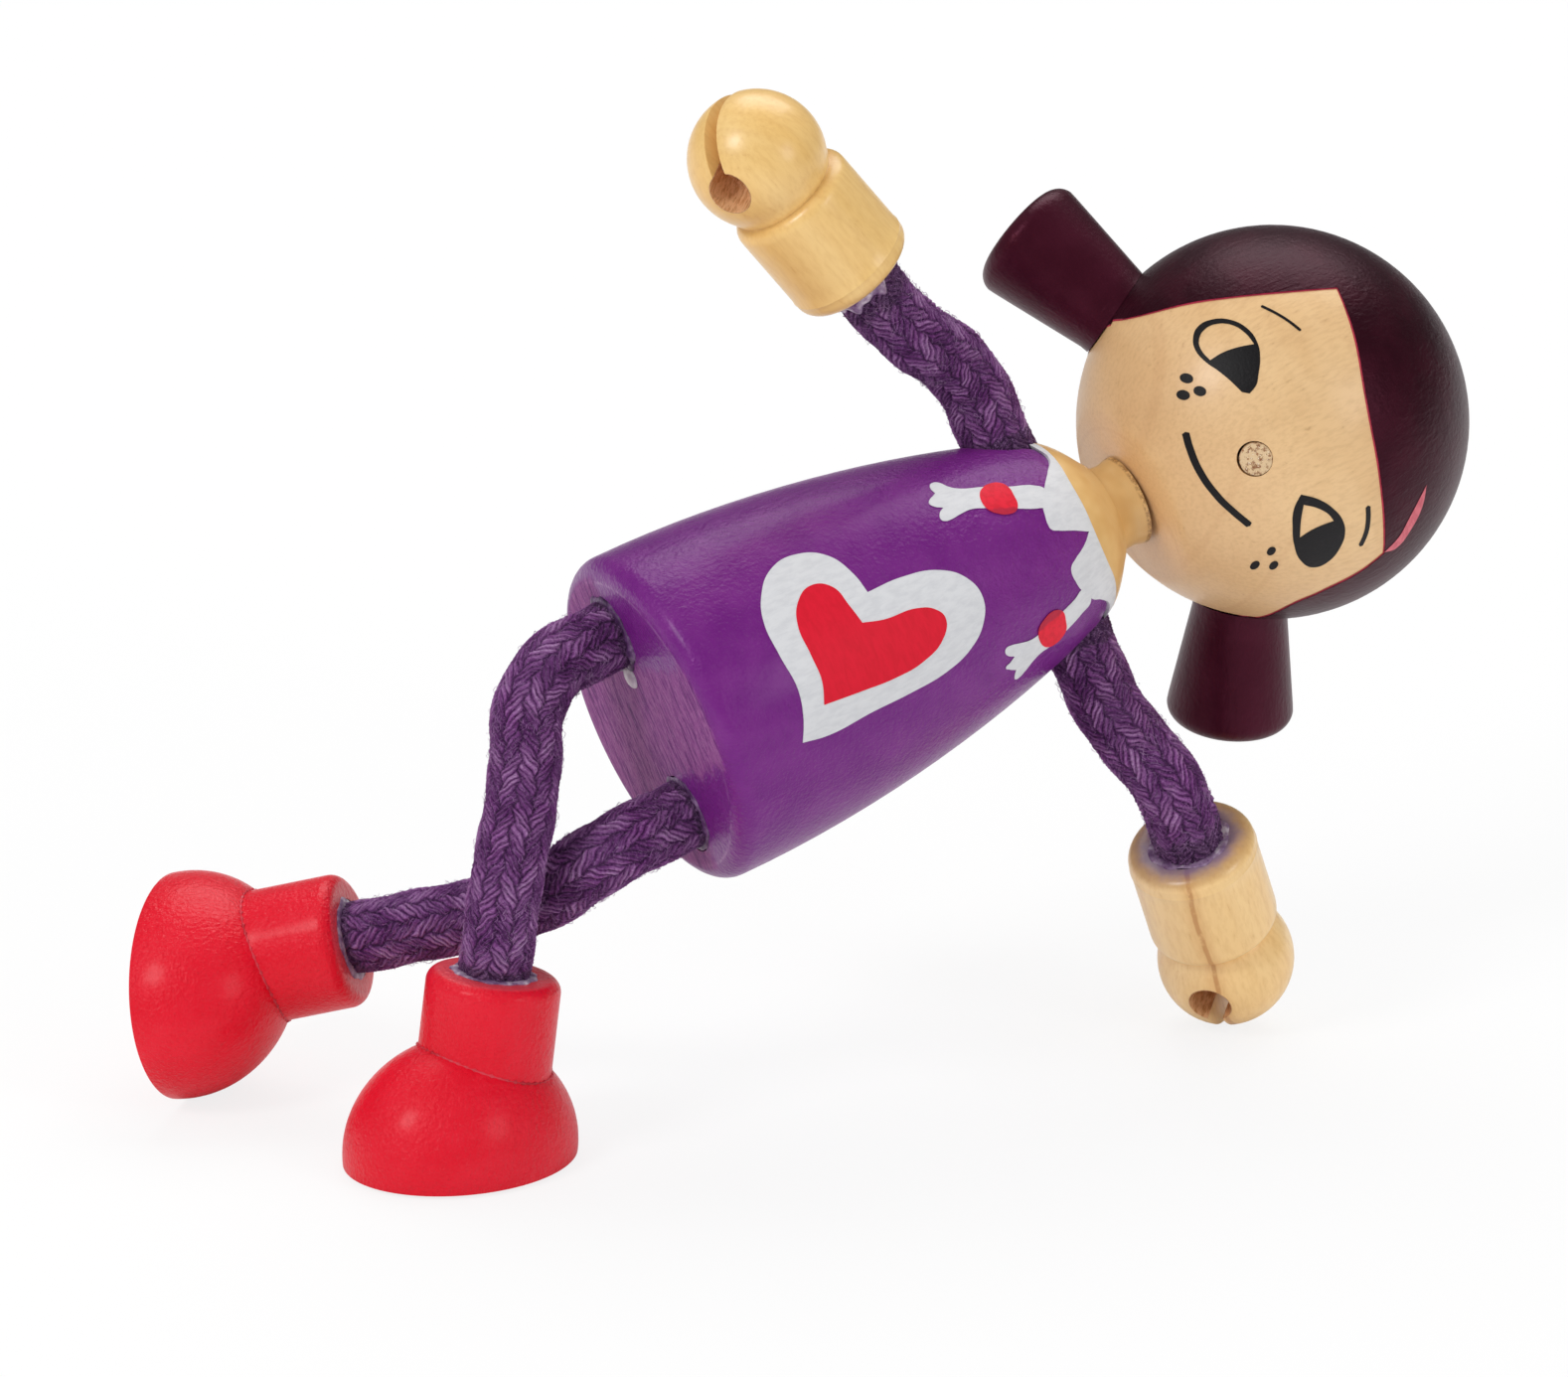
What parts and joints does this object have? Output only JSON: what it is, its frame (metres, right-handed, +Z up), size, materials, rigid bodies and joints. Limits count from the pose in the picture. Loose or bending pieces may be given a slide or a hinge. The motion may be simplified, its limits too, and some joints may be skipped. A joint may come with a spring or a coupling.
{
  "type": "bendable wooden doll",
  "caption": "Small bendable doll: turned wooden torso, head, hands and boots joined by wire-cored braided cords that hold their pose.",
  "frame": {"origin": "middle of the bounding box at floor level", "axes": "+Z up; +X from the boots towards the head of the lying doll; -Y the side from which its chest and face are seen"},
  "size_m": [0.091, 0.0548, 0.069],
  "materials": {
    "purple_paint": "satin purple paint with a painted grey-white and red heart",
    "face_wood": "lacquered pale wood with a painted face and plum hair",
    "plum_paint": "glossy plum paint",
    "red_paint": "satin red paint",
    "lacquered_wood": "clear lacquer on pale wood",
    "dowel_wood": "bare wood",
    "purple_cord": "braided, matt",
    "iron_wire": "soft annealed wire, dull"
  },
  "bodies": {
    "torso_body": {"left_shoulder_cord": "purple_cord", "left_shoulder_wire": "iron_wire", "right_shoulder_cord": "purple_cord", "right_shoulder_wire": "iron_wire", "left_hip_cord": "purple_cord", "left_hip_wire": "iron_wire", "right_hip_cord": "purple_cord", "right_hip_wire": "iron_wire", "torso": "purple_paint", "neck_dowel": "dowel_wood"},
    "left_upper_arm_body": {"left_upper_arm_cord": "purple_cord", "left_upper_arm_wire": "iron_wire"},
    "left_forearm_body": {"left_forearm_cord": "purple_cord", "left_forearm_wire": "iron_wire"},
    "left_hand_body": {"left_wrist_cord": "purple_cord", "left_wrist_wire": "iron_wire", "left_hand": "lacquered_wood"},
    "right_upper_arm_body": {"right_upper_arm_cord": "purple_cord", "right_upper_arm_wire": "iron_wire"},
    "right_forearm_body": {"right_forearm_cord": "purple_cord", "right_forearm_wire": "iron_wire"},
    "right_hand_body": {"right_wrist_cord": "purple_cord", "right_wrist_wire": "iron_wire", "right_hand": "lacquered_wood"},
    "left_thigh_body": {"left_thigh_cord": "purple_cord", "left_thigh_wire": "iron_wire"},
    "left_knee_body": {"left_knee_cord": "purple_cord", "left_knee_wire": "iron_wire"},
    "left_shin_body": {"left_shin_cord": "purple_cord", "left_shin_wire": "iron_wire"},
    "left_foot_body": {"left_ankle_cord": "purple_cord", "left_ankle_wire": "iron_wire", "left_boot": "red_paint"},
    "right_thigh_body": {"right_thigh_cord": "purple_cord", "right_thigh_wire": "iron_wire"},
    "right_knee_body": {"right_knee_cord": "purple_cord", "right_knee_wire": "iron_wire"},
    "right_shin_body": {"right_shin_cord": "purple_cord", "right_shin_wire": "iron_wire"},
    "right_foot_body": {"right_ankle_cord": "purple_cord", "right_ankle_wire": "iron_wire", "right_boot": "red_paint"},
    "head_body": {"left_pigtail": "plum_paint", "left_pigtail_dowel": "dowel_wood", "right_pigtail": "plum_paint", "right_pigtail_dowel": "dowel_wood", "head": "face_wood", "nose_plug": "dowel_wood"}
  },
  "joints": [
    {"name": "left_shoulder", "type": "hinge", "parent": "torso_body", "child": "left_upper_arm_body", "pos_m": [0.01993, 0.00283, 0.02672], "axis": [0.3574, -0.8667, 0.3481], "range_deg": [-45, 19]},
    {"name": "left_elbow", "type": "hinge", "parent": "left_upper_arm_body", "child": "left_forearm_body", "pos_m": [0.02302, 0.00133, 0.02235], "axis": [0.6984, 0.5302, 0.4808], "range_deg": [-45, 45]},
    {"name": "left_wrist", "type": "hinge", "parent": "left_forearm_body", "child": "left_hand_body", "pos_m": [0.02587, 0.00144, 0.01775], "axis": [0.6328, -0.7631, -0.1313], "range_deg": [-45, 45]},
    {"name": "right_shoulder", "type": "hinge", "parent": "torso_body", "child": "right_upper_arm_body", "pos_m": [0.01186, 0.00689, 0.0451], "axis": [-0.3574, 0.8667, -0.3481], "range_deg": [-45, 45]},
    {"name": "right_elbow", "type": "hinge", "parent": "right_upper_arm_body", "child": "right_forearm_body", "pos_m": [0.00867, 0.006, 0.0494], "axis": [-0.4241, -0.3402, -0.8393], "range_deg": [-45, 45]},
    {"name": "right_wrist", "type": "hinge", "parent": "right_forearm_body", "child": "right_hand_body", "pos_m": [0.00502, 0.00408, 0.05314], "axis": [0.4629, -0.8715, 0.1619], "range_deg": [-45, 45]},
    {"name": "left_hip", "type": "hinge", "parent": "torso_body", "child": "left_thigh_body", "pos_m": [-0.01038, -0.01206, 0.02076], "axis": [0.3574, -0.8667, 0.3481], "range_deg": [-40, 27]},
    {"name": "left_thigh", "type": "hinge", "parent": "left_thigh_body", "child": "left_knee_body", "pos_m": [-0.01585, -0.01216, 0.01726], "axis": [0.6543, -0.1935, -0.7311], "range_deg": [-15, 40]},
    {"name": "left_knee", "type": "hinge", "parent": "left_knee_body", "child": "left_shin_body", "pos_m": [-0.02132, -0.01007, 0.01401], "axis": [0.2631, -0.0442, -0.9638], "range_deg": [-40, 40]},
    {"name": "left_ankle", "type": "hinge", "parent": "left_shin_body", "child": "left_foot_body", "pos_m": [-0.02773, -0.00881, 0.01211], "axis": [-0.2127, -0.977, -0.0138], "range_deg": [-40, 40]},
    {"name": "right_hip", "type": "hinge", "parent": "torso_body", "child": "right_thigh_body", "pos_m": [-0.01558, -0.00945, 0.03261], "axis": [-0.3574, 0.8667, -0.3481], "range_deg": [-3, 40]},
    {"name": "right_thigh", "type": "hinge", "parent": "right_thigh_body", "child": "right_knee_body", "pos_m": [-0.01876, -0.01278, 0.0281], "axis": [0.9228, 0.3565, -0.1463], "range_deg": [-40, 3]},
    {"name": "right_knee", "type": "hinge", "parent": "right_knee_body", "child": "right_shin_body", "pos_m": [-0.01935, -0.01567, 0.02199], "axis": [0.9049, 0.27, -0.3289], "range_deg": [-40, 7]},
    {"name": "right_ankle", "type": "hinge", "parent": "right_shin_body", "child": "right_foot_body", "pos_m": [-0.02036, -0.0175, 0.01556], "axis": [0.3361, -0.9401, 0.0581], "range_deg": [-40, 40]},
    {"name": "head_turn", "type": "hinge", "parent": "torso_body", "child": "head_body", "pos_m": [0.02216, 0.00825, 0.03791], "axis": [0.8468, 0.4579, 0.2706], "range_deg": [-70, 70]}
  ]
}
